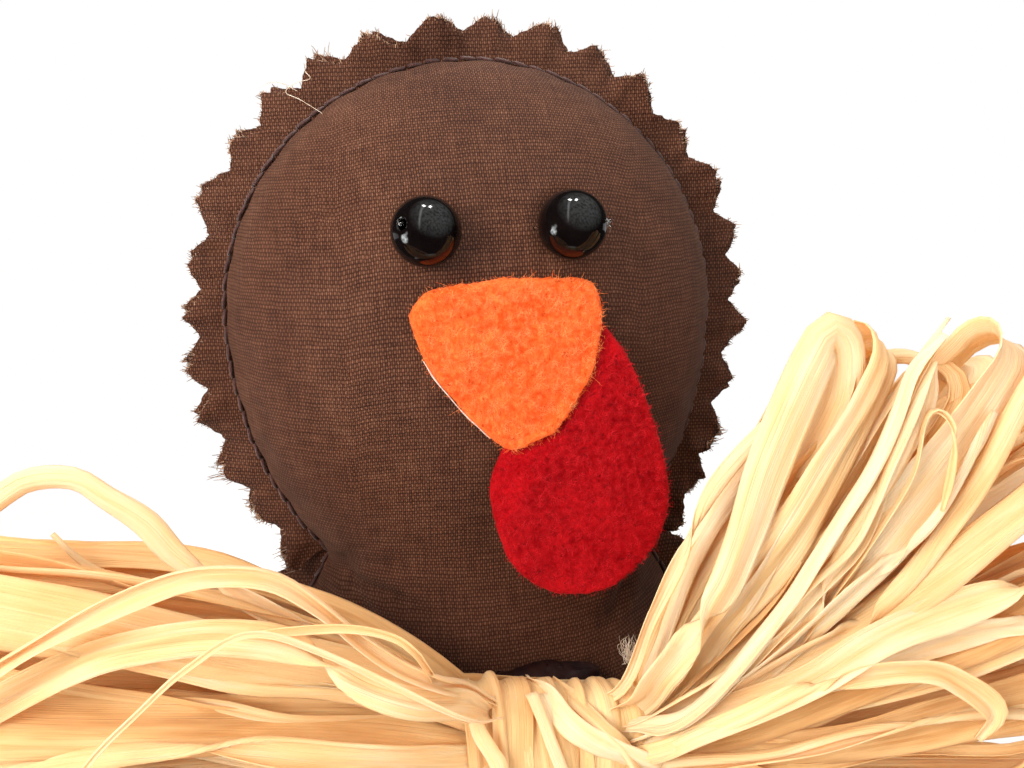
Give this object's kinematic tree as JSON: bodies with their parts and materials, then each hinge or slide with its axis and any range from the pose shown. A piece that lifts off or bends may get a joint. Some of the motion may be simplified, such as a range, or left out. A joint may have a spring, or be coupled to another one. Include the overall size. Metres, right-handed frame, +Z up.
{
  "type": "turkey figure",
  "caption": "Stuffed cloth turkey with a pinked seam frill, bead eyes, felt beak, swinging felt wattle and a looped raffia bow; it stands on a flat oval base.",
  "frame": {"origin": "middle of the flat oval base that the figure stands on", "axes": "+Z up, the face looks along -Y, +X to the right of someone who looks at the face"},
  "size_m": [0.161, 0.0708, 0.142],
  "materials": {
    "cloth": "matte",
    "thread": "satin",
    "board": "matte",
    "pellets": "matte",
    "stuffing": "matte",
    "bead": "gloss",
    "clear_thread": "gloss",
    "orange_felt": "matte",
    "red_felt": "matte",
    "glue": "satin",
    "raffia": "satin"
  },
  "bodies": {
    "figure": {"front_panel": "cloth", "back_panel": "cloth", "base_panel": "cloth", "seam_thread_front": "thread", "seam_thread_back": "thread", "base_board": "board", "weight_pouch": "pellets", "head_stuffing": "stuffing", "body_stuffing": "stuffing", "eye_bead_left": "bead", "eye_bead_right": "bead", "eye_thread_left": "clear_thread", "eye_thread_right": "clear_thread", "beak": "orange_felt", "beak_glue": "glue", "wattle_tab": "red_felt", "bow_glue": "glue", "raffia_loop_left_01": "raffia", "raffia_loop_left_02": "raffia", "raffia_loop_left_03": "raffia", "raffia_loop_left_04": "raffia", "raffia_loop_left_05": "raffia", "raffia_loop_left_06": "raffia", "raffia_loop_left_07": "raffia", "raffia_loop_left_08": "raffia", "raffia_loop_left_09": "raffia", "raffia_loop_left_10": "raffia", "raffia_loop_left_11": "raffia", "raffia_loop_left_12": "raffia", "raffia_loop_left_13": "raffia", "raffia_loop_left_14": "raffia", "raffia_loop_right_01": "raffia", "raffia_loop_right_02": "raffia", "raffia_loop_right_03": "raffia", "raffia_loop_right_04": "raffia", "raffia_loop_right_05": "raffia", "raffia_loop_right_06": "raffia", "raffia_loop_right_07": "raffia", "raffia_loop_right_08": "raffia", "raffia_loop_right_09": "raffia", "raffia_loop_right_10": "raffia", "raffia_loop_right_11": "raffia", "raffia_loop_right_12": "raffia", "raffia_loop_right_13": "raffia", "raffia_loop_right_14": "raffia", "raffia_strand_left_01": "raffia", "raffia_strand_left_02": "raffia", "raffia_strand_left_03": "raffia", "raffia_strand_right_01": "raffia", "raffia_strand_right_02": "raffia", "raffia_band_wrap": "raffia", "raffia_band_tie": "raffia"},
    "wattle": {"wattle_lobe": "red_felt"}
  },
  "joints": [
    {"name": "wattle_swing", "type": "hinge", "parent": "figure", "child": "wattle", "pos_m": [0.00835, -0.02645, 0.095], "axis": [-0.6018, 0, -0.7986], "range_deg": [0, 70]}
  ]
}
